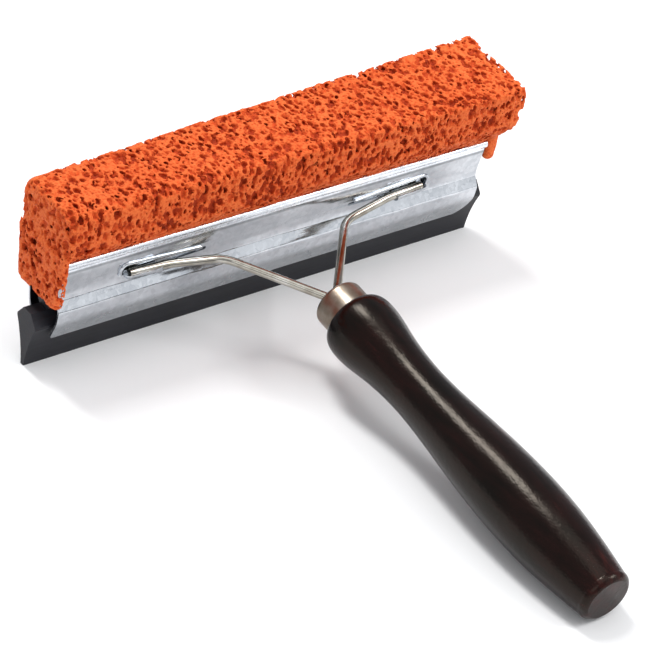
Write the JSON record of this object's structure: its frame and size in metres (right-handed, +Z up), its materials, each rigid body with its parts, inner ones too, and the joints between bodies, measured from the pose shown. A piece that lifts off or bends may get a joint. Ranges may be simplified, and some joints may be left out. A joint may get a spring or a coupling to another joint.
{
  "type": "hand squeegee with sponge",
  "caption": "Hand squeegee: a coarse sponge bar over a rubber blade in a pressed metal head, on a wire fork with a turned wooden handle.",
  "frame": {"origin": "centre of the whole tool's footprint, on the surface it stands on", "axes": "+X along the blade, -Y from the head towards the handle's butt, +Z up, with the blade edge and the handle's belly both at Z = 0"},
  "size_m": [0.203, 0.2234, 0.078],
  "materials": {
    "sponge": "coarse open-cell foam",
    "sheet_steel": "bright tinned sheet with a faint spangle",
    "blade_rubber": "satin black rubber",
    "plated_wire": "drawn plated steel wire",
    "ferrule_metal": "dull nickel-plated steel",
    "handle_wood": "near-black lacquer over turned hardwood"
  },
  "bodies": {
    "tool": {"sponge_bar": "sponge", "front_plate": "sheet_steel", "back_plate": "sheet_steel", "spine_channel": "sheet_steel", "wire_fork": "plated_wire", "ferrule": "ferrule_metal", "handle": "handle_wood"},
    "blade": {"rubber_blade": "blade_rubber"}
  },
  "joints": [
    {"name": "blade_slide", "type": "slide", "parent": "tool", "child": "blade", "axis": [1, 0, 0], "range_m": [0, 0.19]}
  ]
}
